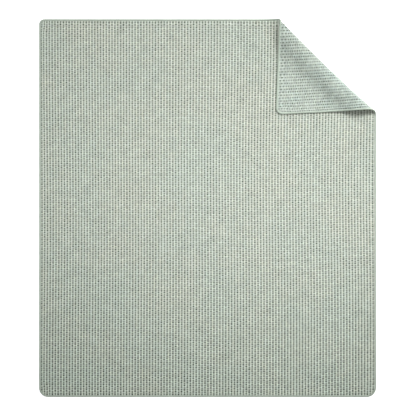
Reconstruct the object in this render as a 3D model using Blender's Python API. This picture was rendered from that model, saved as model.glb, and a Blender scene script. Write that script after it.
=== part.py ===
# Quilted throw that lies flat, face up, with one corner folded over onto its face.
# Metres. X runs across the throw, Y along it and Z up. The origin is under its middle.
from bisect import bisect_right
from math import acos, atan, cos, pi, radians, sin

import bmesh
import bpy
from mathutils import Vector

# The throw as it is cut and sewn
WIDTH = 1.300
LENGTH = 1.457
THICKNESS = 0.0045        # face cloth, thin wadding and backing cloth, quilted together
BINDING_WIDTH = 0.0070    # the strip round the edge, as it shows on each face
BINDING_ROUNDING = 0.0014  # where the strip turns over the edge
SEAM_GAP = 0.0003         # between the quilted cloth and the strip
CORNER_RADIUS = {"near_right": 0.037, "near_left": 0.035, "far_left": 0.020, "far_right": 0.027}
CORNER_STEPS = 8

# The fold crosses the far right corner, from the far edge to the right edge
FOLD_START = Vector((0.274, LENGTH / 2))
FOLD_END = Vector((WIDTH / 2, 0.351))
TIGHT_TURN = radians(175)  # slope at the end of the tight turn, before the wide crest
CREST_RADIUS = 0.090       # top of the fold, where the cloth starts to come down
LANDING_RADIUS = 0.135     # where the folded corner settles onto the cloth under it
LAYER_GAP = 0.0010         # between the folded corner and the cloth under it
FLAP_LEAN = 0.040          # slip of the folded corner along the fold, by its reach
FLAP_CREEP = 0.0075        # slip along the fold, by the distance from the far edge
FLAP_STRETCH = 1.070       # the folded corner is drawn out on the bias, away from the fold

# The crest is level all along, so where the tight turn is small the crease lifts off the surface
CREST_HEIGHT = 0.0275      # of the cloth's middle, over its middle where it lies flat
RISE_SPREAD = 0.085        # how far inside the crease the cloth starts to lift, at the far edge
RISE_WIDENING = 0.35       # and how much further, by the distance from the far edge
RISE_LIMITS = (0.030, 0.150)
RISE_FADE = 0.055          # the lift dies out along the far edge

# along: distance from the far edge on the line between the fold's ends
# setback: how far the crease bows in from that line
# radius: tight turn of the cloth's middle
SECTION_COLUMNS = ("along", "setback", "radius")
FOLD_SECTIONS = (
    (0.000, 0.0027, 0.0038),
    (0.060, 0.0077, 0.0066),
    (0.130, 0.0108, 0.0092),
    (0.225, 0.0129, 0.0115),
    (0.310, 0.0121, 0.0127),
    (0.400, 0.0102, 0.0134),
    (0.475, 0.0059, 0.0137),
    (0.535, 0.0010, 0.0138),
)

# Rows run along the fold: where the cloth rises to the crease, and one for each step of each stretch past it
RISE_ROWS = (-0.152, -0.130, -0.110, -0.091, -0.073, -0.056, -0.041, -0.027, -0.013)
TIGHT_STEPS = 12
CREST_STEPS = 7
LANDING_STEPS = 6
FLAP_STEPS = 5
ROW_SPANS = 30             # facets along a row

ALONG = (FOLD_END - FOLD_START).normalized()
OUTWARD = Vector((-ALONG.y, ALONG.x))
MID_TO_MID = THICKNESS + LAYER_GAP


def clear_scene():
    for old in list(bpy.data.objects):
        bpy.data.objects.remove(old, do_unlink=True)


def fold_section(along):
    """Setback and radius at a distance along the fold, on smooth curves through the table."""
    stations = [row[0] for row in FOLD_SECTIONS]
    along = min(max(along, stations[0]), stations[-1])
    i = min(bisect_right(stations, along), len(stations) - 1) - 1
    before, start, end, after = (
        FOLD_SECTIONS[min(max(k, 0), len(stations) - 1)] for k in (i - 1, i, i + 1, i + 2)
    )
    span = end[0] - start[0]
    x = (along - start[0]) / span
    values = []
    for column in range(1, len(SECTION_COLUMNS)):
        slope_in = (end[column] - before[column]) / (end[0] - before[0]) * span
        slope_out = (after[column] - start[column]) / (after[0] - start[0]) * span
        values.append(
            start[column] * (2 * x**3 - 3 * x**2 + 1)
            + slope_in * (x**3 - 2 * x**2 + x)
            + end[column] * (3 * x**2 - 2 * x**3)
            + slope_out * (x**3 - x**2)
        )
    return values


def smooth(share):
    share = min(max(share, 0.0), 1.0)
    return share * share * (3 - 2 * share)


def crease_rise(along):
    """How high the crease is lifted, and how far inside it the cloth starts to lift."""
    radius = fold_section(along)[1]
    own_top = radius * (1 - cos(TIGHT_TURN)) + CREST_RADIUS * (1 - cos(pi - TIGHT_TURN))
    lift = max(CREST_HEIGHT - own_top, 0.0) * (1 - smooth(-along / RISE_FADE))
    spread = min(max(RISE_SPREAD + RISE_WIDENING * along, RISE_LIMITS[0]), RISE_LIMITS[1])
    return lift, spread


def fold_lengths(along):
    """Slope at the crease, steepest descent, and cloth used to the end of tight turn, crest and landing."""
    radius = fold_section(along)[1]
    lift, spread = crease_rise(along)
    begin = atan(2 * lift / spread)
    peak = lift + radius * (cos(begin) - cos(TIGHT_TURN)) + CREST_RADIUS * (1 - cos(pi - TIGHT_TURN))
    descent = acos(1 - max(peak - MID_TO_MID, 0.0) / (CREST_RADIUS + LANDING_RADIUS))
    tight = radius * (TIGHT_TURN - begin)
    crest = tight + CREST_RADIUS * (pi - TIGHT_TURN + descent)
    return begin, descent, tight, crest, crest + LANDING_RADIUS * descent


def fold_profile(reach, along):
    """Offset from the crease, height and slope angle of the cloth's middle, at a reach past the crease."""
    lift, spread = crease_rise(along)
    if reach <= 0:
        near = 1 - min(-reach / spread, 1.0)
        return reach, lift * near**2, atan(2 * lift / spread * near)
    radius = fold_section(along)[1]
    begin, descent, tight, crest, landing = fold_lengths(along)
    angle = begin + min(reach, tight) / radius
    offset = radius * (sin(angle) - sin(begin))
    height = lift + radius * (cos(begin) - cos(angle))
    if reach > tight:
        start, angle = angle, TIGHT_TURN + (min(reach, crest) - tight) / CREST_RADIUS
        offset += CREST_RADIUS * (sin(angle) - sin(start))
        height += CREST_RADIUS * (cos(start) - cos(angle))
        offset -= (FLAP_STRETCH - 1) * (reach - tight)
    if reach > crest:
        start, angle = angle, pi + descent - (min(reach, landing) - crest) / LANDING_RADIUS
        offset -= LANDING_RADIUS * (sin(angle) - sin(start))
        height -= LANDING_RADIUS * (cos(start) - cos(angle))
    if reach > landing:
        offset -= reach - landing
    return offset, height, angle


def place(flat, level):
    """Where a point of the flat cloth lies; level is its height through the cloth, from the back."""
    rel = Vector(flat) - FOLD_START
    along, out = rel.dot(ALONG), rel.dot(OUTWARD)
    setback, radius = fold_section(along)
    offset, height, angle = fold_profile(out + setback, along)
    slip = 0.0
    if out + setback > 0:
        begin = fold_lengths(along)[0]
        turned = min((angle - begin) / (pi - begin), 1.0)
        slip = FLAP_LEAN * max(radius - offset, 0.0) * turned + FLAP_CREEP * along * turned**2
    spot = FOLD_START + ALONG * (along - slip) + OUTWARD * (offset - setback)
    lift = level - THICKNESS / 2
    side = OUTWARD * (-sin(angle) * lift)
    return Vector((spot.x + side.x, spot.y + side.y, THICKNESS / 2 + height + cos(angle) * lift))


def corner_points(name, inset):
    """Rounded corner, going round the throw clockwise as seen from above, from the right edge."""
    turns = {"near_right": 0, "near_left": 1, "far_left": 2, "far_right": 3}[name]
    radius = CORNER_RADIUS[name]
    x_side = 1 if name.endswith("right") else -1
    y_side = 1 if name.startswith("far") else -1
    centre = Vector((x_side * (WIDTH / 2 - radius), y_side * (LENGTH / 2 - radius)))
    points = []
    for step in range(CORNER_STEPS + 1):
        angle = -pi / 2 * (turns + step / CORNER_STEPS)
        points.append(centre + (radius - inset) * Vector((cos(angle), sin(angle))))
    return points


def row_reaches(along):
    """Reach past the crease of each row, at a distance along the fold; inside it, the reach is negative."""
    tight, crest, landing = fold_lengths(along)[2:]
    stretches = ((0.0, tight, TIGHT_STEPS), (tight, crest, CREST_STEPS), (crest, landing, LANDING_STEPS))
    reaches = [*RISE_ROWS, 0.0]
    for start, end, steps in stretches:
        reaches += [start + (end - start) * k / steps for k in range(1, steps + 1)]
    corner = Vector((WIDTH / 2, LENGTH / 2)) - FOLD_START
    last = corner.dot(OUTWARD) - CORNER_RADIUS["far_right"]
    reaches += [landing + (last - landing) * k / FLAP_STEPS for k in range(1, FLAP_STEPS + 1)]
    return reaches


def row_point(row, along):
    out = row_reaches(along)[row] - fold_section(along)[0]
    return FOLD_START + ALONG * along + OUTWARD * out


def row_end(row, side, inset):
    """Where a row meets the far edge or the right edge, that far in from the cut edge."""
    axis = 1 if side == "far" else 0
    edge = (LENGTH if side == "far" else WIDTH) / 2 - inset
    along = 0.0 if side == "far" else (FOLD_END - FOLD_START).length
    for _ in range(60):
        miss = edge - row_point(row, along)[axis]
        along += 0.8 * miss / ALONG[axis]
    return along


def outline(inset):
    """Points round the throw, that far in from its cut edge, clockwise from the first row's right end."""
    rows = range(len(row_reaches(0.0)))
    points = [row_point(0, row_end(0, "right", inset))]
    for name in ("near_right", "near_left", "far_left"):
        points += corner_points(name, inset)
    points += [row_point(row, row_end(row, "far", inset)) for row in rows]
    points += corner_points("far_right", inset)
    points += [row_point(row, row_end(row, "right", inset)) for row in reversed(rows[1:])]
    return points


def new_object(name, build, color, roughness):
    mesh = bpy.data.meshes.new(name)
    bm = bmesh.new()
    build(bm)
    bmesh.ops.recalc_face_normals(bm, faces=bm.faces)
    bm.to_mesh(mesh)
    bm.free()
    mesh.shade_smooth()
    mesh.set_sharp_from_angle(angle=radians(35))
    material = bpy.data.materials.new(name)
    material.use_nodes = True
    shader = material.node_tree.nodes["Principled BSDF"]
    shader.inputs["Base Color"].default_value = (*color, 1.0)
    shader.inputs["Roughness"].default_value = roughness
    shader.inputs["Metallic"].default_value = 0.0
    mesh.materials.append(material)
    bpy.context.scene.collection.objects.link(bpy.data.objects.new(name, mesh))


def build_cloth(bm):
    """The quilted cloth: a flat sheet that rises to the crease, turns over and comes back over itself."""
    inset = BINDING_WIDTH + SEAM_GAP
    rim = outline(inset)
    row_count = len(row_reaches(0.0))
    far_start = 1 + 3 * (CORNER_STEPS + 1)
    corner_start = far_start + row_count
    flat = list(rim)
    grid = []
    for row in range(row_count):
        left, right = row_end(row, "far", inset), row_end(row, "right", inset)
        right_index = len(rim) - row if row else 0
        indices = [far_start + row]
        for k in range(1, ROW_SPANS):
            indices.append(len(flat))
            flat.append(row_point(row, left + (right - left) * k / ROW_SPANS))
        grid.append(indices + [right_index])
    faces = [grid[0] + list(range(1, far_start))]
    for inner, outer in zip(grid, grid[1:]):
        for k in range(ROW_SPANS):
            faces.append([inner[k], inner[k + 1], outer[k + 1], outer[k]])
    corner = list(range(corner_start, corner_start + CORNER_STEPS + 1))
    faces.append(grid[-1][::-1] + corner)
    back = [bm.verts.new(place(point, 0.0)) for point in flat]
    face = [bm.verts.new(place(point, THICKNESS)) for point in flat]
    for indices in faces:
        bm.faces.new([face[i] for i in indices])
        bm.faces.new([back[i] for i in reversed(indices)])
    for i in range(len(rim)):
        j = (i + 1) % len(rim)
        bm.faces.new([face[i], face[j], back[j], back[i]])


def build_binding(bm):
    """The strip that is folded round the cut edge, all the way round."""
    section = (
        (BINDING_WIDTH, 0.0),
        (BINDING_ROUNDING, 0.0),
        (0.0, BINDING_ROUNDING),
        (0.0, THICKNESS - BINDING_ROUNDING),
        (BINDING_ROUNDING, THICKNESS),
        (BINDING_WIDTH, THICKNESS),
    )
    rings = [[bm.verts.new(place(point, level)) for point in outline(inset)] for inset, level in section]
    for ring, following in zip(rings, rings[1:] + rings[:1]):
        for i in range(len(ring)):
            j = (i + 1) % len(ring)
            bm.faces.new([ring[i], ring[j], following[j], following[i]])


clear_scene()
new_object("quilted_cloth", build_cloth, color=(0.50, 0.55, 0.48), roughness=0.9)
new_object("edge_binding", build_binding, color=(0.40, 0.46, 0.39), roughness=0.85)
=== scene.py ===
from math import cos, pi, radians, sin

import bpy
import numpy as np
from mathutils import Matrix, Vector


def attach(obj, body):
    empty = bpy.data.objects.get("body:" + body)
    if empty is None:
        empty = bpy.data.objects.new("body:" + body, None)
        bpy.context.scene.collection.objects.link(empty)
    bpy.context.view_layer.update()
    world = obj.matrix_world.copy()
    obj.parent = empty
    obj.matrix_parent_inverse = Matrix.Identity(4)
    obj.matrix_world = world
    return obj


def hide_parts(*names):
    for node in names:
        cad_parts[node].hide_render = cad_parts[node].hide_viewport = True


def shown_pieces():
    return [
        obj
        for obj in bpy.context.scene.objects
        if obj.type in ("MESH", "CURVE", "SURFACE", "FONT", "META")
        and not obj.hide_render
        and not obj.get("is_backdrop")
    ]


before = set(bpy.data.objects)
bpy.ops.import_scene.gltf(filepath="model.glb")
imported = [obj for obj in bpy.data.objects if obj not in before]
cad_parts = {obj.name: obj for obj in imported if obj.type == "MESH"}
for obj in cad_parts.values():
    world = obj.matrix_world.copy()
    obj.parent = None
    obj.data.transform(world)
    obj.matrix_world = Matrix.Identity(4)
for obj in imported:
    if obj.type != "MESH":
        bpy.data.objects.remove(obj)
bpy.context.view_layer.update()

bakeMap = "OFBake"  # the flat layout of each piece

# The cloth as it is cut, quilted and bound
throw = {
    "width": 1.300,
    "length": 1.457,
    "thickness": 0.0045,
    "cornerRadius": {"nearLeft": 0.035, "nearRight": 0.037, "farLeft": 0.020, "farRight": 0.027},
}

# The folded corner, as the frame has it
fold = {
    "start": (0.274, 0.7285),
    "end": (0.650, 0.351),
    "tightTurn": radians(175),
    "crestRadius": 0.090,
    "landingRadius": 0.135,
    "layerGap": 0.0010,
    "lean": 0.040,
    "creep": 0.0075,
    "stretch": 1.070,
    "crestHeight": 0.0275,
    "riseSpread": 0.085,
    "riseWidening": 0.35,
    "riseLimits": (0.030, 0.150),
    "riseFade": 0.055,
    # distance along the fold, how far the crease bows in, radius of the tight turn
    "sections": (
        (0.000, 0.0027, 0.0038),
        (0.060, 0.0077, 0.0066),
        (0.130, 0.0108, 0.0092),
        (0.225, 0.0129, 0.0115),
        (0.310, 0.0121, 0.0127),
        (0.400, 0.0102, 0.0134),
        (0.475, 0.0059, 0.0137),
        (0.535, 0.0010, 0.0138),
    ),
}


class Wire:
    # one output socket; arithmetic on it adds Math nodes
    def __init__(self, bench, socket):
        self.bench = bench
        self.socket = socket

    def math(self, operation, *others):
        return self.bench.math(operation, self, *others)

    def __add__(self, other):
        return self.math("ADD", other)

    def __radd__(self, other):
        return self.math("ADD", other)

    def __sub__(self, other):
        return self.math("SUBTRACT", other)

    def __rsub__(self, other):
        return self.bench.math("SUBTRACT", other, self)

    def __mul__(self, other):
        return self.math("MULTIPLY", other)

    def __rmul__(self, other):
        return self.math("MULTIPLY", other)

    def __truediv__(self, other):
        return self.math("DIVIDE", other)

    def __pow__(self, other):
        return self.math("POWER", other)


class Bench:
    # adds nodes to one tree
    def __init__(self, tree):
        self.tree = tree

    def node(self, kind, settings=None, sockets=None, output=0):
        made = self.tree.nodes.new(kind)
        for name, value in (settings or {}).items():
            setattr(made, name, value)
        for name, value in (sockets or {}).items():
            if isinstance(value, Wire):
                self.tree.links.new(value.socket, made.inputs[name])
            else:
                made.inputs[name].default_value = value
        if isinstance(output, tuple):
            return [Wire(self, made.outputs[name]) for name in output]
        return Wire(self, made.outputs[output]) if made.outputs else None

    def math(self, operation, *values):
        return self.node("ShaderNodeMath", {"operation": operation}, dict(enumerate(values)))

    def split(self, vector):
        return self.node("ShaderNodeSeparateXYZ", None, {0: vector}, (0, 1, 2))

    def join(self, x, y, z):
        return self.node("ShaderNodeCombineXYZ", None, {0: x, 1: y, 2: z})

    def ramp(self, value, low, high):
        # 0 below low, 1 above high, smooth between
        return self.node("ShaderNodeMapRange", {"interpolation_type": "SMOOTHSTEP"},
                         {"Value": value, "From Min": low, "From Max": high})

    def near(self, distance, fade):
        # 1 as far as the first number of fade, either way, and 0 past the second
        return 1 - self.ramp(distance.math("ABSOLUTE"), *fade)

    def noise(self, vector, scale, detail=2.0, roughness=0.5):
        return self.node("ShaderNodeTexNoise", None,
                         {"Vector": vector, "Scale": scale, "Detail": detail, "Roughness": roughness})

    def dice(self, x, y, layer=0.0):
        # one even random number for each whole x and y
        return self.node("ShaderNodeTexWhiteNoise", {"noise_dimensions": "3D" if layer else "2D"},
                         {"Vector": self.join(x, y, layer)})

    def scaled(self, colour, factor):
        return self.node("ShaderNodeVectorMath", {"operation": "SCALE"}, {0: colour, "Scale": factor})

    def mixColour(self, share, first, second, blend="MIX"):
        return self.node("ShaderNodeMix", {"data_type": "RGBA", "blend_type": blend},
                         {0: share, 6: first, 7: second}, 2)

    def tinted(self, colour, tint):
        return self.mixColour(1.0, colour, tint, "MULTIPLY")

    def bump(self, strength, distance, height):
        return self.node("ShaderNodeBump", None,
                         {"Strength": strength, "Distance": distance, "Height": height})

    def position(self):
        return self.node("GeometryNodeInputPosition")

    def moved(self, mesh, x, y, z):
        return self.node("GeometryNodeSetPosition", None, {"Geometry": mesh, "Position": self.join(x, y, z)})

    def random(self, low, high, seed):
        return self.node("FunctionNodeRandomValue", {"data_type": "FLOAT"},
                         {2: low, 3: high, "Seed": seed}, 1)


def startTree(name, inputs):
    tree = bpy.data.node_groups.new(name, "GeometryNodeTree")
    tree.interface.new_socket(name="Geometry", in_out="OUTPUT", socket_type="NodeSocketGeometry")
    tree.interface.new_socket(name="Geometry", in_out="INPUT", socket_type="NodeSocketGeometry")
    for label, value in inputs.items():
        kind = "NodeSocketInt" if isinstance(value, int) else "NodeSocketFloat"
        made = tree.interface.new_socket(name=label, in_out="INPUT", socket_type=kind)
        made.default_value = value
    bench = Bench(tree)
    given = tree.nodes.new("NodeGroupInput")
    return bench, {item.name: Wire(bench, given.outputs[item.name]) for item in given.outputs if item.name}


def endTree(bench, mesh, material):
    real = bench.node("GeometryNodeRealizeInstances", None, {"Geometry": mesh})
    done = bench.node("GeometryNodeSetMaterial", None, {"Geometry": real, "Material": material})
    out = bench.tree.nodes.new("NodeGroupOutput")
    bench.tree.links.new(done.socket, out.inputs[0])
    return bench.tree


def growPiece(name, tree, values):
    # runs a tree and keeps its result as a plain mesh
    start = bpy.data.meshes.new(name + "_start")
    piece = bpy.data.objects.new(name, start)
    bpy.context.scene.collection.objects.link(piece)
    maker = piece.modifiers.new("maker", "NODES")
    maker.node_group = tree
    for item in tree.interface.items_tree:
        if item.in_out == "INPUT" and item.name in values:
            maker[item.identifier] = values[item.name]
    graph = bpy.context.evaluated_depsgraph_get()
    grown = bpy.data.meshes.new_from_object(piece.evaluated_get(graph), depsgraph=graph)
    piece.modifiers.remove(maker)
    piece.data = grown
    grown.name = name
    bpy.data.meshes.remove(start)
    return piece


def foldSection(run):
    # how far the crease bows in, and the radius of its tight turn, on smooth curves through the table
    table = np.array(fold["sections"])
    stations = table[:, 0]
    last = len(stations) - 1
    here = np.arange(last + 1)
    after = np.minimum(here + 1, last)
    before = np.maximum(here - 1, 0)
    slopes = (table[after] - table[before]) / (stations[after] - stations[before])[:, None]
    run = np.clip(run, stations[0], stations[-1])
    i = np.minimum(np.searchsorted(stations, run, side="right"), last) - 1
    span = stations[i + 1] - stations[i]
    x = (run - stations[i]) / span
    return [
        table[i, k] * (2 * x**3 - 3 * x**2 + 1)
        + slopes[i, k] * span * (x**3 - 2 * x**2 + x)
        + table[i + 1, k] * (3 * x**2 - 2 * x**3)
        + slopes[i + 1, k] * span * (x**3 - x**2)
        for k in (1, 2)
    ]


def eased(share):
    share = np.clip(share, 0, 1)
    return share * share * (3 - 2 * share)


def foldCorner(points):
    # points are x, y and height through the flat cloth
    middle = throw["thickness"] / 2
    start = np.array(fold["start"])
    along = np.array(fold["end"]) - start
    along = along / np.linalg.norm(along)
    outward = np.array((-along[1], along[0]))
    rel = points[:, :2] - start
    run = rel @ along
    setback, radius = foldSection(run)
    reach = rel @ outward + setback
    turn = fold["tightTurn"]
    crestRadius = fold["crestRadius"]
    landingRadius = fold["landingRadius"]
    crestShare = crestRadius * (1 - cos(pi - turn))
    # where the tight turn is small the crease lifts off the surface, so that the crest stays level
    lift = np.maximum(fold["crestHeight"] - radius * (1 - cos(turn)) - crestShare, 0)
    lift = lift * (1 - eased(-run / fold["riseFade"]))
    spread = np.clip(fold["riseSpread"] + fold["riseWidening"] * run, *fold["riseLimits"])
    near = 1 - np.clip(-reach / spread, 0, 1)
    begin = np.arctan(2 * lift / spread)
    # the sheet turns tightly, passes the crest in a wider arc and lands in a third one
    peak = lift + radius * (np.cos(begin) - cos(turn)) + crestShare
    drop = np.maximum(peak - throw["thickness"] - fold["layerGap"], 0)
    descent = np.arccos(1 - drop / (crestRadius + landingRadius))
    tight = radius * (turn - begin)
    crest = tight + crestRadius * (pi - turn + descent)
    landing = crest + landingRadius * descent
    a = begin + np.clip(reach, 0, tight) / radius
    b = (np.clip(reach, tight, crest) - tight) / crestRadius
    c = (np.clip(reach, crest, landing) - crest) / landingRadius
    steep = pi + descent
    offset = radius * (np.sin(a) - np.sin(begin)) + crestRadius * (np.sin(turn + b) - sin(turn))
    offset -= landingRadius * (np.sin(steep - c) - np.sin(steep))
    offset -= np.maximum(reach - landing, 0) + (fold["stretch"] - 1) * np.maximum(reach - tight, 0)
    height = lift + radius * (np.cos(begin) - np.cos(a)) + crestRadius * (cos(turn) - np.cos(turn + b))
    height -= landingRadius * (np.cos(steep) - np.cos(steep - c))
    turned = np.clip((a + b - c - begin) / (pi - begin), 0, 1)
    slip = fold["lean"] * np.maximum(radius - offset, 0) * turned + fold["creep"] * run * turned**2
    # what lies before the crease only rises towards it
    folded = reach > 0
    slip = np.where(folded, slip, 0)
    offset = np.where(folded, offset, reach)
    height = np.where(folded, height, lift * near**2)
    angle = np.where(folded, a + b - c, np.arctan(2 * lift / spread * near))
    through = points[:, 2] - middle
    flat = start + np.outer(run - slip, along)
    flat += np.outer(offset - setback - np.sin(angle) * through, outward)
    return np.column_stack((flat, middle + height + np.cos(angle) * through))


# Gentle sways of the quilting
wander = {
    # how far in metres, and how many half waves across and along the throw
    "columns": (
        (-0.0027, 1, 0), (-0.0027, 1, 2), (-0.0009, 0, 3), (-0.0019, 0, 0), (0.0008, 2, 0), (0.0008, 0, 2),
        (0.0006, 3, 0), (0.0008, 1, 3), (0.0008, 1, 1),
    ),
    "rows": (
        (0.0033, 0, 3), (0.0033, 1, 0), (-0.0021, 3, 0), (0.0018, 4, 0), (0.0015, 2, 0), (0.0021, 2, 1),
        (-0.0016, 3, 1), (-0.0012, 0, 2), (-0.0019, 0, 0),
    ),
    "fade": 0.022,        # they die out towards the edge they cross
    "cornerFade": 0.050,  # and towards a corner
}


def swayed(points):
    x, y = points[:, 0], points[:, 1]
    # no point leaves the edge it is on, and the corners stay as they are
    inside = np.stack((throw["width"] / 2 - abs(x), throw["length"] / 2 - abs(y)))
    corner = np.clip(inside.max(axis=0) / wander["cornerFade"], 0, 1)
    fades = np.clip(inside / wander["fade"], 0, 1) * corner
    across = pi * (x / throw["width"] + 0.5)
    along = pi * (y / throw["length"] + 0.5)
    moved = points.copy()
    for axis, sways in enumerate((wander["columns"], wander["rows"])):
        for size, wavesAcross, wavesAlong in sways:
            moved[:, axis] += fades[axis] * size * np.cos(wavesAcross * across) * np.cos(wavesAlong * along)
    return moved


def lay(piece):
    # sways a flat piece and folds its corner over
    mesh = piece.data
    points = np.empty(len(mesh.vertices) * 3, np.float32)
    mesh.vertices.foreach_get("co", points)
    points = swayed(points.reshape(-1, 3).astype(float))
    mesh.vertices.foreach_set("co", foldCorner(points).astype(np.float32).ravel())
    mesh.update()
    return piece


finish = {
    "ridge": (0.664, 0.700, 0.631, 1),
    # groove is partly the cloth's own darker colour and partly painted shade in the grooves; hole is painted
    # shade in the needle holes
    "groove": (0.256, 0.304, 0.243, 1),
    "hole": (0.054, 0.080, 0.052, 1),
    "warm": (1.020, 1.000, 0.988, 1),
    "cool": (0.975, 1.000, 1.004, 1),
    "blue": (1.000, 1.000, 1.014, 1),
    "yellow": (1.000, 1.000, 0.974, 1),
    "plain": (1.000, 1.000, 1.000, 1),
    "nearTint": (0.962, 1.000, 0.982, 1),
    "backTint": (0.842, 0.900, 0.914, 1),
    "thread": (0.56, 0.61, 0.54, 1),
    "threadDark": (0.42, 0.46, 0.38, 1),
    "binding": (0.375, 0.440, 0.370, 1),
    "bindingSlub": (0.455, 0.520, 0.445, 1),
}


def newMaterial(name):
    material = bpy.data.materials.new(name)
    material.use_nodes = True
    material.node_tree.nodes.clear()
    return material, Bench(material.node_tree)


def endMaterial(bench, sockets):
    shader = bench.node("ShaderNodeBsdfPrincipled", None, sockets)
    bench.node("ShaderNodeOutputMaterial", None, {"Surface": shader})


# The quilting: narrow columns, a groove stitched between each two
quilt = {
    "columns": 116,
    "drift": 0.0228,         # columns grow this much wider to the right
    "inset": 0.0015,         # the cloth's edge, inside the binding
    "firstHole": 1.90,       # where an even groove's deep hole is, in stitches
    "grooveDepth": 0.0013,
    "pitDepth": 0.0008,
    "pinch": 0.0120,         # the width over which the cloth thins to its edge
    "crestPower": 0.8,       # below 1 the columns are fuller than a plain arch
    "pitPower": 2.0,
    "puffScale": 38.0,       # some places are filled more than others
    "puffDepth": 0.0012,
    "meshEach": 3,           # points across a column, and along a repeat
    "meshShift": 0.19,       # rows of points move back this much, in stitches, to fall in the deep holes
    "meshTrim": 0.0002,
    "seed": 7,
    # repeats: two stitches of a groove make one. oddStep: how much further on the deep hole is in an odd
    # groove. secondHole: the shallow hole, counted from the deep one. secondPit and secondDark: its depth
    # and painted darkness. groove and hole: how dark their painted shade shows. bars: where threads cross
    # the
    # groove. bead: how uneven single stitches are
    "face": {
        "repeats": 83, "oddStep": -0.75, "secondHole": 1.125, "secondPit": 0.4, "secondDark": 0.30,
        "groove": 1.00, "hole": 1.00, "bead": 0.12, "bars": (0.56, 1.58), "side": 1.0,
    },
    "backing": {
        "repeats": 88, "oddStep": -0.59, "secondHole": 1.000, "secondPit": 0.9, "secondDark": 0.75,
        "groove": 0.46, "hole": 1.00, "bead": 0.20, "bars": (0.50, 1.50), "side": -1.0,
    },
}
innerWidth = throw["width"] - 2 * quilt["inset"]
innerLength = throw["length"] - 2 * quilt["inset"]


def columnAt(across):
    # across is a share of the quilted width
    return (across + across * (1 - across) * quilt["drift"]) * quilt["columns"]


def quiltPlaces(bench, repeats):
    # where a point is: shares of the throw's width and length, and how many columns and stitches on
    u, v, _ = bench.split(bench.node("ShaderNodeUVMap", {"uv_map": bakeMap}))
    across = (u - 0.5) * (throw["width"] / innerWidth) + 0.5
    along = (v - 0.5) * (throw["length"] / innerLength) + 0.5
    return u, v, columnAt(across), along * repeats * 2


def stitchPhase(column, row, oddStep):
    # the nearest groove, and how far down from its deep hole a point is, from 0 to 2 stitches
    number = (column + 0.5).math("FLOOR")
    first = quilt["firstHole"] + number.math("PINGPONG", 1.0) * oddStep
    return number, ((row * -1 - first) * 0.5).math("FRACT") * 2


# The stitched pattern as light and dark: painted shade in its grooves and holes, lifted where threads cross
marks = {
    # along and across: a mark fades out between these distances, in stitches along a groove and in columns
    # across it. left: how far it sits to the left of the groove's middle. dark and light: the least, and
    # what chance or a patch adds, to a hole's painted shade and to how far a bar lifts the painted groove
    # shade
    "deep": {"along": (0.04, 0.46), "across": (0.03, 0.40), "left": 0.05, "dark": (0.80, 0.40)},
    "slight": {"along": (0.04, 0.38), "across": (0.02, 0.30), "left": 0.03, "chance": 0.50},
    "bar": {"along": (0.06, 0.40), "light": (0.36, 0.18)},
    "lesserBar": {"along": (0.04, 0.32), "light": (0.26, 0.16), "oddLess": 0.14},
    "patchScale": 22.0,         # in patches the pattern is livelier
    "patchRange": (0.34, 0.66),
    "patchDark": (0.42, 0.62),
    "chanceLayer": 4.0,         # keeps the two kinds of hole from sharing their luck
}

# Painted light and shade over whole rows and sides of the throw
paintedLightBands = {
    "row": 0.066,               # painted shade along each row of stitches, where it draws the cloth in
    "pair": 0.034,              # and every second one more
    "pairTurn": radians(79),    # where in a repeat that one falls
    # where a side's effect begins, as a share of the throw's length or width, and how fast it grows
    "near": (0.42, 0.56),
    "left": (0.35, 0.20),
    # the far side is painted lighter
    "far": (0.82, 0.28),
    # towards the near and left sides the crests get a painted highlight, the grooves and holes more painted
    # shade, and the colour turns greener
    "crest": 0.46,
    "dip": 0.90,
    "hole": 2.40,
    "tint": 3.6,
}

# Uneven yarns: how often each changes across and along, its layer of the noise, its roughness and strength.
# The weft's changes are counted over the throw's width and length, the others' over columns and stitches
yarns = {
    "streak": (0.9, 0.22, 5.0, 0.5, 0.50),    # moves a groove's stitches along it
    "slub": (1.7, 0.30, 3.0, 0.6, 0.18),      # thick and thin places along the columns
    "weft": (26.0, 110.0, 7.0, 0.6, 0.24),    # and across them
    "dash": (0.8, 0.14, 11.0, 0.6, 0.55),     # long warm and cool dashes
}

# Mottling and fuzz, with scales per metre
heather = {
    "blotchScale": 24.0,
    "blotch": 0.26,
    "washScale": 4.0,
    "wash": 0.45,
    "warmRange": (0.38, 0.62),
    "fleckScale": 75.0,
    "fleckRange": (0.34, 0.66),
    "fuzzScale": 900.0,
    "fuzz": 0.5,
    "level": 0.66,              # lightness, before all the unevenness adds to it
    "bumpStrength": 0.7,
    "bumpDistance": 0.0007,
    "bumpDip": 0.6,
    "bumpHole": 0.8,
}


def yarnNoise(bench, name, x, y):
    across, along, layer, roughness, strength = yarns[name]
    return bench.noise(bench.join(x * across, y * along, layer), 1.0, 2.0, roughness) * strength


def rising(strengths, share):
    # the least, and more with share
    least, more = strengths
    return share * more + least


def below(band, place):
    # grows from where the band begins, down or to the left
    begin, rate = band
    return (begin - place).math("MAXIMUM", 0.0) * rate


def above(band, place):
    # the same, up or to the right
    begin, rate = band
    return (place - begin).math("MAXIMUM", 0.0) * rate


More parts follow.
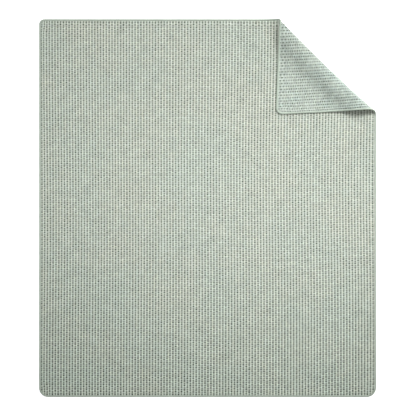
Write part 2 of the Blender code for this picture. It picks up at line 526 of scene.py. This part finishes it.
def stitchMarks(bench, look, flat, column, row):
    # how much of a groove and of a hole is seen at a point, from 0 to 1: masks for the painted shade in
    # grooves and needle holes, which the bump follows too
    number = (column + 0.5).math("FLOOR")
    streak = yarnNoise(bench, "streak", number, row) - yarns["streak"][-1] / 2
    number, phase = stitchPhase(column, row + streak, look["oddStep"])
    side = column - number                               # 0 in the groove, 0.5 on the crest
    odd = number.math("PINGPONG", 1.0)
    pair = (row * 0.5).math("FLOOR")
    patch = bench.ramp(bench.noise(flat, marks["patchScale"], 3.0), *marks["patchRange"])
    deep = bench.near(phase.math("MINIMUM", 2 - phase), marks["deep"]["along"])
    deep = deep * bench.near(side + marks["deep"]["left"], marks["deep"]["across"])
    deep = deep * rising(marks["deep"]["dark"], bench.dice(number, pair))
    slight = bench.near(phase - look["secondHole"], marks["slight"]["along"])
    slight = slight * bench.near(side + marks["slight"]["left"], marks["slight"]["across"])
    chance = bench.dice(number, pair, marks["chanceLayer"])
    slight = slight * rising((look["secondDark"], marks["slight"]["chance"]), chance)
    hole = rising(marks["patchDark"], patch) * look["hole"] * deep.math("MAXIMUM", slight)
    # the threads that cross a groove between two holes lift its painted shade
    bar = bench.near(phase - look["bars"][0], marks["bar"]["along"])
    lesser = bench.near(phase - look["bars"][1], marks["lesserBar"]["along"])
    lesser = lesser * (rising(marks["lesserBar"]["light"], patch) - odd * marks["lesserBar"]["oddLess"])
    crossed = bar * rising(marks["bar"]["light"], patch) + lesser
    valley = (side * (2 * pi)).math("COSINE") * 0.5 + 0.5
    return valley * (1 - crossed) * look["groove"], hole


def quiltMaterial(name, look):
    backing = look["side"] < 0
    material, bench = newMaterial(name)
    u, v, column, row = quiltPlaces(bench, look["repeats"])
    flat = bench.join(u * throw["width"], v * throw["length"], 0.0)
    dip, hole = stitchMarks(bench, look, flat, column, row)
    # painted shade: the grooves and needle holes are darkened in the colour
    tone = bench.mixColour(dip, finish["ridge"], finish["groove"])
    tone = bench.mixColour(hole, tone, finish["hole"])
    # painted shade along the rows of stitches, which draw both grooves and ridges in, every second one more
    light = 1 - (row * (2 * pi)).math("COSINE") * paintedLightBands["row"]
    light = light + (row * pi - paintedLightBands["pairTurn"]).math("COSINE") * paintedLightBands["pair"]
    # painted light and shade: towards the near and the left edge the crests are painted lighter, the grooves
    # and holes darker
    paintedShading = below(paintedLightBands["near"], v) + below(paintedLightBands["left"], u)
    light = light * (1 + paintedShading * (paintedLightBands["crest"] - dip * paintedLightBands["dip"] - hole * paintedLightBands["hole"]))
    # painted light: the face grows lighter towards the far edge
    if not backing:
        light = light * (1 + above(paintedLightBands["far"], v))
    # uneven yarns along the columns and across them, blotches, and each stitch's own lightness
    number = (column + 0.5).math("FLOOR")
    uneven = yarnNoise(bench, "slub", number, row) + yarnNoise(bench, "weft", u, v)
    uneven = uneven + bench.noise(flat, heather["blotchScale"], 3.0, 0.6) * heather["blotch"]
    uneven = uneven + bench.dice(column.math("FLOOR"), row.math("FLOOR")) * look["bead"]
    tone = bench.scaled(tone, light * (heather["level"] - look["bead"] / 2 + uneven))
    # heathered yarns: long warm and cool dashes along the columns, with small blue and yellow flecks
    wash = bench.noise(flat, heather["washScale"], 1.0) * heather["wash"]
    warmth = bench.ramp(yarnNoise(bench, "dash", column, row) + wash, *heather["warmRange"])
    tone = bench.tinted(tone, bench.mixColour(warmth, finish["cool"], finish["warm"]))
    fleck = bench.ramp(bench.noise(flat, heather["fleckScale"], 1.0), *heather["fleckRange"])
    tone = bench.tinted(tone, bench.mixColour(fleck, finish["yellow"], finish["blue"]))
    # with the painted shade, the near and left edges also turn greener
    greener = (paintedShading * paintedLightBands["tint"]).math("MINIMUM", 1.0)
    tone = bench.tinted(tone, bench.mixColour(greener, finish["plain"], finish["nearTint"]))
    if backing:
        tone = bench.tinted(tone, finish["backTint"])
    relief = bench.noise(flat, heather["fuzzScale"], 2.0) * heather["fuzz"]
    relief = relief - dip * heather["bumpDip"] - hole * heather["bumpHole"]
    bump = bench.bump(heather["bumpStrength"], heather["bumpDistance"], relief)
    endMaterial(bench, {"Base Color": tone, "Roughness": 0.92, "Normal": bump,
                        "Specular IOR Level": 0.25, "Sheen Weight": 0.15, "Sheen Roughness": 0.5})
    return material


def insideEdge(bench, x, y):
    # how far a point is inside the cloth's rounded outline, its corner's radius, how far it is past that
    # corner's centre each way, and straight
    radius = {corner: size - quilt["inset"] for corner, size in throw["cornerRadius"].items()}
    right = x.math("GREATER_THAN", 0.0)
    far = y.math("GREATER_THAN", 0.0)
    near = radius["nearLeft"] + right * (radius["nearRight"] - radius["nearLeft"])
    away = radius["farLeft"] + right * (radius["farRight"] - radius["farLeft"])
    corner = near + far * (away - near)
    overX = x.math("ABSOLUTE") - innerWidth / 2 + corner
    overY = y.math("ABSOLUTE") - innerLength / 2 + corner
    past = (overX.math("MAXIMUM", 0.0) ** 2 + overY.math("MAXIMUM", 0.0) ** 2).math("SQRT")
    within = overX.math("MAXIMUM", overY).math("MINIMUM", 0.0)
    return corner - past - within, corner, overX, overY, past


def quiltPosition(column, row, repeats):
    # where a column and a stitch lie on the flat cloth
    across = column / quilt["columns"]
    across = across - across * (1 - across) * quilt["drift"]
    return (across - 0.5) * innerWidth, (row / (repeats * 2) - 0.5) * innerLength


def quiltHalf(bench, given, column, row, inside, place):
    # half of the cloth's thickness there
    number, phase = stitchPhase(column, row, given["Odd Step"])
    crest = ((column - number).math("ABSOLUTE") * pi).math("SINE") ** quilt["crestPower"]
    puff = bench.noise(place, quilt["puffScale"], 1.0)
    deep = (phase * pi).math("COSINE").math("MAXIMUM", 0.0) ** quilt["pitPower"]
    slight = ((phase - given["Second Hole"]) * pi).math("COSINE").math("MAXIMUM", 0.0) ** quilt["pitPower"]
    pit = given["Pit Depth"] * (deep + slight * given["Second Pit"]) * (puff + 0.5)
    depth = (1 - crest) * (given["Groove Depth"] + pit)
    depth = depth + (0.5 - puff).math("MAXIMUM", 0.0) * quilt["puffDepth"]
    return (throw["thickness"] / 2 - depth) * bench.ramp(inside, 0.0, given["Pinch"])


def storeFlat(bench, mesh, x, y):
    spot = bench.join(x / throw["width"] + 0.5, y / throw["length"] + 0.5, 0.0)
    return bench.node("GeometryNodeStoreNamedAttribute",
                      {"data_type": "FLOAT2", "domain": "CORNER"},
                      {"Geometry": mesh, "Name": bakeMap, "Value": spot})


def patternInputs(look):
    # what the trees are told about the pattern of one cloth
    return {
        "Repeats": look["repeats"], "Odd Step": look["oddStep"], "Second Hole": look["secondHole"],
        "Second Pit": look["secondPit"], "Side": look["side"],
    }


# Inputs that the cloth's tree and the stitches' tree share
reliefInputs = {
    "Groove Depth": quilt["grooveDepth"], "Pit Depth": quilt["pitDepth"], "Pinch": quilt["pinch"],
    **patternInputs(quilt["face"]),
}


def quiltTree(name, material):
    bench, given = startTree(name, {"Columns": quilt["columns"], "Backing": 0, **reliefInputs})
    each = quilt["meshEach"]
    grid = bench.node("GeometryNodeMeshGrid", None, {
        "Size X": 1.0, "Size Y": 1.0,
        "Vertices X": given["Columns"] * each + 1, "Vertices Y": given["Repeats"] * each + 1,
    })
    gx, gy, _ = bench.split(bench.position())
    column = (gx + 0.5) * given["Columns"]
    inner = gy.math("ABSOLUTE").math("LESS_THAN", 0.4995)    # not the first and last rows
    row = (gy + 0.5) * given["Repeats"] * 2 - inner * quilt["meshShift"]
    stored = bench.node("GeometryNodeStoreNamedAttribute", {"data_type": "FLOAT_VECTOR", "domain": "POINT"},
                        {"Geometry": grid, "Name": "quilting", "Value": bench.join(column, row, 0.0)})
    x, y = quiltPosition(column, row, given["Repeats"])
    laid = bench.moved(stored, x, y, 0.0)
    # the corners are cut round
    x, y, _ = bench.split(bench.position())
    inside, corner, overX, overY, past = insideEdge(bench, x, y)
    cut = bench.node("GeometryNodeDeleteGeometry", {"domain": "FACE"},
                     {"Geometry": laid, "Selection": inside.math("LESS_THAN", quilt["meshTrim"])})
    spare = (past - corner).math("MAXIMUM", 0.0) / past.math("MAXIMUM", 1e-6)
    roundX = x - x.math("SIGN") * overX.math("MAXIMUM", 0.0) * spare
    roundY = y - y.math("SIGN") * overY.math("MAXIMUM", 0.0) * spare
    mapped = storeFlat(bench, bench.moved(cut, roundX, roundY, 0.0), x, y)
    # the relief
    place = bench.position()
    x, y, _ = bench.split(place)
    inside = insideEdge(bench, x, y)[0]
    named = bench.node("GeometryNodeInputNamedAttribute", {"data_type": "FLOAT_VECTOR"},
                       {"Name": "quilting"})
    column, row, _ = bench.split(named)
    half = quiltHalf(bench, given, column, row, inside, place)
    raised = bench.moved(mapped, x, y, throw["thickness"] / 2 + given["Side"] * half)
    turned = bench.node("GeometryNodeFlipFaces", None, {"Mesh": raised, "Selection": given["Backing"]})
    bare = bench.node("GeometryNodeRemoveAttribute", None, {"Geometry": turned, "Name": "quilting"})
    shaded = bench.node("GeometryNodeSetShadeSmooth", None, {"Geometry": bare})
    return endTree(bench, shaded, material)


# Quilting stitches: one thread over each stretch between two needle holes
stitch = {
    "length": 0.0054,
    "width": 0.0012,
    "height": 0.0011,
    "raise": 0.0002,
    "skew": 0.07,
    "slip": 0.0002,
    "keepIn": 0.0085,           # none under the binding
    "grow": (0.90, 1.12),
    "lengthen": (0.80, 0.34),   # a short stretch's share of the length, and what a long one adds
    "thicken": (0.80, 0.25),    # the same for its height
    "fleckRange": (0.35, 0.70),
    "twist": 5200.0,            # radians per metre
    "twistDepth": 0.0002,
}


def threadMaterial():
    material, bench = newMaterial("quiltingThread")
    u, v, column, row = quiltPlaces(bench, quilt["face"]["repeats"])
    fleck = bench.noise(bench.join(column, row * 0.3, 9.0), 1.0, 3.0, 0.65)
    tone = bench.mixColour(bench.ramp(fleck, *stitch["fleckRange"]), finish["thread"], finish["threadDark"])
    turns = u * (throw["width"] * stitch["twist"]) + v * (throw["length"] * stitch["twist"])
    bump = bench.bump(0.4, stitch["twistDepth"], turns.math("SINE") * 0.5 + 0.5)
    endMaterial(bench, {"Base Color": tone, "Roughness": 0.8, "Normal": bump, "Specular IOR Level": 0.3})
    return material


def stitchTree(name, material):
    bench, given = startTree(name, {
        "First Column": 1, "Across": quilt["columns"] // 2, "Seed": quilt["seed"], **reliefInputs})
    count = given["Across"] * given["Repeats"] * 2
    order = bench.node("GeometryNodeInputIndex")
    column = given["First Column"] + order.math("MODULO", given["Across"])
    order = (order / given["Across"]).math("FLOOR")
    odd = column.math("PINGPONG", 1.0)
    # a stitch lies halfway from each hole to the next, and the stretches are long and short by turns
    row = order - odd * (given["Odd Step"] + 1) + (2 - quilt["firstHole"]) - given["Second Hole"] / 2
    long = 1 - (order + odd).math("PINGPONG", 1.0)
    x, y = quiltPosition(column, row, given["Repeats"])
    slip = bench.random(-stitch["slip"], stitch["slip"], given["Seed"])
    points = bench.node("GeometryNodePoints", None,
                        {"Count": count, "Position": bench.join(x + slip, y, 0.0)})
    points = bench.node("GeometryNodeStoreNamedAttribute", {"data_type": "FLOAT", "domain": "POINT"},
                        {"Geometry": points, "Name": "long", "Value": long})
    place = bench.position()
    x, y, _ = bench.split(place)
    inside = insideEdge(bench, x, y)[0]
    kept = bench.node("GeometryNodeDeleteGeometry", {"domain": "POINT"},
                      {"Geometry": points, "Selection": inside.math("LESS_THAN", stitch["keepIn"])})
    # which groove and stitch a point belongs to is read back from where it lies
    groove = columnAt(x / innerWidth + 0.5).math("ROUND")
    tread = (y / innerLength + 0.5) * given["Repeats"] * 2
    half = quiltHalf(bench, given, groove, tread, inside, place)
    lifted = bench.moved(kept, x, y, throw["thickness"] / 2 + given["Side"] * (half + stitch["raise"]))
    bead = bench.node("GeometryNodeMeshUVSphere", None, {"Segments": 3, "Rings": 3, "Radius": 0.5})
    laid = bench.node("GeometryNodeTransform", None, {
        "Geometry": bead, "Rotation": (radians(90), 0, 0),
        "Scale": (stitch["width"], stitch["height"], stitch["length"])})
    skew = bench.random(-stitch["skew"], stitch["skew"], given["Seed"] + 1)
    grow = bench.random(*stitch["grow"], given["Seed"] + 2)
    size = bench.node("GeometryNodeInputNamedAttribute", {"data_type": "FLOAT"}, {"Name": "long"})
    scale = bench.join(grow, grow * rising(stitch["lengthen"], size), grow * rising(stitch["thicken"], size))
    spread = bench.node("GeometryNodeInstanceOnPoints", None, {
        "Points": lifted, "Instance": laid, "Rotation": bench.join(0.0, 0.0, skew), "Scale": scale})
    real = bench.node("GeometryNodeRealizeInstances", None, {"Geometry": spread})
    x, y, _ = bench.split(bench.position())
    shaded = bench.node("GeometryNodeSetShadeSmooth", None, {"Geometry": storeFlat(bench, real, x, y)})
    return endTree(bench, shaded, material)


# The strip that is folded round the cut edge
binding = {
    "step": 0.0044,
    "fineStep": 0.0011,
    "fineTurn": radians(7),         # points stand closer where the strip turns by more than this
    "ripple": (0.000072, 0.031),    # its face rises and falls: how far, and one wave's length
    "waver": (0.0002, 0.083),       # its sewn edges stray in and out
    "faceFrom": 0.003,              # the face is what lies higher than this
    "sewnFrom": 0.006,              # the sewn edges are what lies further in than this
    "mapRows": 16,                  # its flat layout is cut into rows, laid one above another
    "mapFill": (0.05, 0.90),        # a row's margin, and how much of the row the strip fills
    "ribSpacing": 0.0046,
    "slubScale": (60.0, 160.0),
    "underside": (0.0080, 0.0100),  # the way round the section over which it turns paler
    "undersidePaler": 0.19,
    "bumpDistance": 0.0004,
    # inset from the outline and height, round the outside of the strip and back along its inside
    "section": (
        (0.0070, 0.00340), (0.0064, 0.00410), (0.0048, 0.00450), (0.0030, 0.00455), (0.0013, 0.00415),
        (0.0004, 0.00330), (0.0000, 0.00225), (0.0004, 0.00120), (0.0013, 0.00035), (0.0030, 0.00000),
        (0.0048, 0.00000), (0.0064, 0.00040), (0.0070, 0.00110),
        (0.0066, 0.00135), (0.0040, 0.00090), (0.0012, 0.00190), (0.0012, 0.00260), (0.0040, 0.00360),
        (0.0066, 0.00315),
    ),
}


def bindingMaterial():
    # its map holds the distance along the edge and round the section, in metres
    material, bench = newMaterial("bindingCloth")
    s, w, _ = bench.split(bench.node("ShaderNodeUVMap", {"uv_map": "alongEdge"}))
    rib = (s * (2 * pi / binding["ribSpacing"])).math("SINE") * 0.5 + 0.5
    lengthwise, crosswise = binding["slubScale"]
    slub = bench.noise(bench.join(s * lengthwise, w * crosswise, 0.0), 1.0, 3.0, 0.6)
    tone = bench.mixColour(slub, finish["binding"], finish["bindingSlub"])
    # its underside, which shows on the folded corner, is paler
    tone = bench.scaled(tone, 1 + bench.ramp(w, *binding["underside"]) * binding["undersidePaler"])
    bump = bench.bump(0.5, binding["bumpDistance"], (rib + slub) * 0.6)
    endMaterial(bench, {"Base Color": tone, "Roughness": 0.85, "Normal": bump,
                        "Specular IOR Level": 0.25, "Sheen Weight": 0.1, "Sheen Roughness": 0.5})
    return material


def outline(step):
    # the throw's rounded outline, with inward normals and the length along it
    halfWidth, halfLength = throw["width"] / 2, throw["length"] / 2
    size = throw["cornerRadius"]
    corners = (
        ("nearRight", 1, -1, -90), ("farRight", 1, 1, 0), ("farLeft", -1, 1, 90), ("nearLeft", -1, -1, 180),
    )
    spots, normals = [], []
    for k, (corner, sideX, sideY, first) in enumerate(corners):
        radius = size[corner]
        centre = np.array((sideX * (halfWidth - radius), sideY * (halfLength - radius)))
        steps = max(int(radius * pi / 2 / step), 8)
        for j in range(steps):
            angle = radians(first) + j / steps * pi / 2
            out = np.array((cos(angle), sin(angle)))
            spots.append(centre + out * radius)
            normals.append(-out)
        nextCorner, nextX, nextY, nextFirst = corners[(k + 1) % 4]
        out = np.array((cos(radians(nextFirst)), sin(radians(nextFirst))))
        begin = centre + out * radius
        end = np.array((nextX * (halfWidth - size[nextCorner]), nextY * (halfLength - size[nextCorner])))
        end = end + out * size[nextCorner]
        run = int(np.linalg.norm(end - begin) / step)
        for j in range(run):
            spots.append(begin + (end - begin) * j / run)
            normals.append(-out)
    spots, normals = np.array(spots), np.array(normals)
    length = np.concatenate(([0], np.cumsum(np.linalg.norm(np.roll(spots, -1, 0) - spots, axis=1))))
    return spots, normals, length


def thinned(spots, normals, length):
    # keeps a point each step, and closer ones where the fold turns
    middle = np.full(len(spots), throw["thickness"] / 2)
    laid = foldCorner(np.column_stack((spots, middle)))
    over = foldCorner(np.column_stack((spots, middle + 0.001))) - laid
    over /= np.linalg.norm(over, axis=1)[:, None]
    kept = [0]
    for i in range(1, len(spots) - 1):
        bend = np.arccos(np.clip(over[i] @ over[kept[-1]], -1, 1))
        turn = np.arccos(np.clip(normals[i] @ normals[kept[-1]], -1, 1))
        if length[i] - length[kept[-1]] >= binding["step"] or max(bend, turn) > binding["fineTurn"]:
            kept.append(i)
    return kept


def wave(shape, length):
    size, spacing = shape
    return size * sin(2 * pi * length / spacing)


def bindingPiece(material):
    spots, normals, length = outline(binding["fineStep"])
    kept = thinned(spots, normals, length)
    around = length[-1]
    section = np.array(binding["section"])
    count, ring = len(kept), len(section)
    points = np.empty((count, ring, 3))
    for n, i in enumerate(kept):
        inset = section[:, 0] + wave(binding["waver"], length[i]) * (section[:, 0] > binding["sewnFrom"])
        raised = section[:, 1] + wave(binding["ripple"], length[i]) * (section[:, 1] > binding["faceFrom"])
        points[n, :, :2] = spots[i] + normals[i] * inset[:, None]
        points[n, :, 2] = raised
    faces = []
    for n in range(count):
        here, ahead = n * ring, (n + 1) % count * ring
        for k in range(ring):
            following = (k + 1) % ring
            faces.append((here + k, here + following, ahead + following, ahead + k))
    mesh = bpy.data.meshes.new("edge_binding_strip")
    mesh.from_pydata(foldCorner(points.reshape(-1, 3)).tolist(), [], faces)
    mesh.materials.append(material)
    sides = np.linalg.norm(np.diff(section, axis=0, append=section[:1]), axis=1)
    walk = np.concatenate(([0], np.cumsum(sides)))
    runs = [length[i] for i in kept] + [around]
    flow = mesh.uv_layers.new(name="alongEdge")
    bake = mesh.uv_layers.new(name=bakeMap)
    flowValues, bakeValues = [], []
    rows = binding["mapRows"]
    margin, fill = binding["mapFill"]
    for first, second in zip(runs, runs[1:]):
        shelf = int(first / around * rows)
        for low, high in zip(walk, walk[1:]):
            for s, w in ((first, low), (first, high), (second, high), (second, low)):
                flowValues += [s, w]
                level = (shelf + margin + fill * w / walk[-1]) / rows
                bakeValues += [min(s / around * rows - shelf, 1.0), level]
    flow.data.foreach_set("uv", flowValues)
    bake.data.foreach_set("uv", bakeValues)
    mesh.shade_smooth()
    piece = bpy.data.objects.new("bound_edge", mesh)
    bpy.context.scene.collection.objects.link(piece)
    return piece


print("making the quilted cloth")
sheets = []
for name, key in (("face_cloth", "face"), ("backing_cloth", "backing")):
    look = quilt[key]
    tree = quiltTree("quilted " + key, quiltMaterial("quilted" + key.title(), look))
    sheets.append(lay(growPiece(name, tree, {"Backing": int(look["side"] < 0), **patternInputs(look)})))
face, backing = sheets

print("sewing the quilting stitches")
stitching = stitchTree("quilting stitches", threadMaterial())
half = quilt["columns"] // 2
threads = []
for key in ("face", "backing"):
    for end, first, across in (("left", 1, half), ("right", half + 1, half - 1)):
        values = {"First Column": first, "Across": across, **patternInputs(quilt[key])}
        threads.append(lay(growPiece("stitches_" + key + "_" + end, stitching, values)))

print("binding the edge")
bound = bindingPiece(bindingMaterial())

for piece in (face, backing, *threads):
    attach(piece, "root")
    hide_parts("quilted_cloth")
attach(bound, "root")
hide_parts("edge_binding")


studio = {
    "floorTone": (0.90, 0.90, 0.90, 1),
    "floorGlow": 0.80,
    "floorReach": 20.0,
    "floorDrop": 0.0004,
    "keyFoot": (0.42, 0.45, 0.0),   # the light stands off this point
    "keyAim": (0.70, 0.05, 0.0),
    "keyDistance": 3.5,
    "keyAzimuth": radians(45),      # from +X towards +Y
    "keyElevation": radians(42),
    "keySpread": radians(38.9),
    "keyRadius": 1.14,
    "keyPower": 1265.0,
    "topAim": (-0.60, 0.45, 0.0),   # a second soft light straight above
    "topHeight": 4.0,
    "topSpread": radians(45.2),
    "topRadius": 0.80,
    "topPower": 416.0,
    "skyTone": (1.0, 1.0, 1.0, 1),
    "skyPower": 0.097,
    "horizonPower": 0.97,           # a bright band stands level with the floor
    "horizonFade": (0.10, 0.25),
    "frameWidth": 1.6030,           # what the camera sees across, at the throw's face
    "lens": 135.0,
    "sensor": 36.0,
    "centre": (0.0012, 0.0002),
}


def addFloor():
    reach, level = studio["floorReach"], -studio["floorDrop"]
    corners = [(x * reach, y * reach, level) for x, y in ((-1, -1), (1, -1), (1, 1), (-1, 1))]
    mesh = bpy.data.meshes.new("floor")
    mesh.from_pydata(corners, [], [(0, 1, 2, 3)])
    floor = bpy.data.objects.new("floor", mesh)
    bpy.context.scene.collection.objects.link(floor)
    floor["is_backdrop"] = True
    material, bench = newMaterial("paleFloor")
    endMaterial(bench, {"Base Color": studio["floorTone"], "Roughness": 0.9,
                        "Emission Color": (1, 1, 1, 1), "Emission Strength": studio["floorGlow"]})
    mesh.materials.append(material)


def addLights():
    level = cos(studio["keyElevation"])
    keyPlace = Vector(studio["keyFoot"]) + studio["keyDistance"] * Vector((
        level * cos(studio["keyAzimuth"]), level * sin(studio["keyAzimuth"]), sin(studio["keyElevation"])))
    topPlace = Vector(studio["topAim"]) + Vector((0, 0, studio["topHeight"]))
    for name, place in (("key", keyPlace), ("top", topPlace)):
        lamp = bpy.data.lights.new(name, "SPOT")
        lamp.spot_size = studio[name + "Spread"]
        lamp.spot_blend = 1.0
        lamp.shadow_soft_size = studio[name + "Radius"]
        lamp.energy = studio[name + "Power"]
        light = bpy.data.objects.new(name, lamp)
        light.location = place
        light.rotation_euler = (Vector(studio[name + "Aim"]) - place).to_track_quat("-Z", "Y").to_euler()
        bpy.context.scene.collection.objects.link(light)


def addSky():
    world = bpy.data.worlds.new("studio")
    world.use_nodes = True
    world.node_tree.nodes.clear()
    bench = Bench(world.node_tree)
    _, _, up = bench.split(bench.node("ShaderNodeTexCoord", None, None, "Generated"))
    band = bench.near(up, studio["horizonFade"])
    glow = studio["skyPower"] + (studio["horizonPower"] - studio["skyPower"]) * band
    shine = bench.node("ShaderNodeBackground", None, {"Color": studio["skyTone"], "Strength": glow})
    bench.node("ShaderNodeOutputWorld", None, {"Surface": shine})
    bpy.context.scene.world = world


def addCamera():
    data = bpy.data.cameras.new("camera")
    data.lens = studio["lens"]
    data.sensor_width = studio["sensor"]
    data.clip_end = 60.0
    camera = bpy.data.objects.new("camera", data)
    distance = studio["frameWidth"] * studio["lens"] / studio["sensor"]
    camera.location = (*studio["centre"], throw["thickness"] + distance)
    bpy.context.scene.collection.objects.link(camera)
    bpy.context.scene.camera = camera


print("setting the floor, light and camera")
addFloor()
addLights()
addSky()
addCamera()
bpy.context.scene.view_settings.view_transform = "Standard"

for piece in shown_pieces():
    print(piece.name, len(piece.data.polygons), "faces")
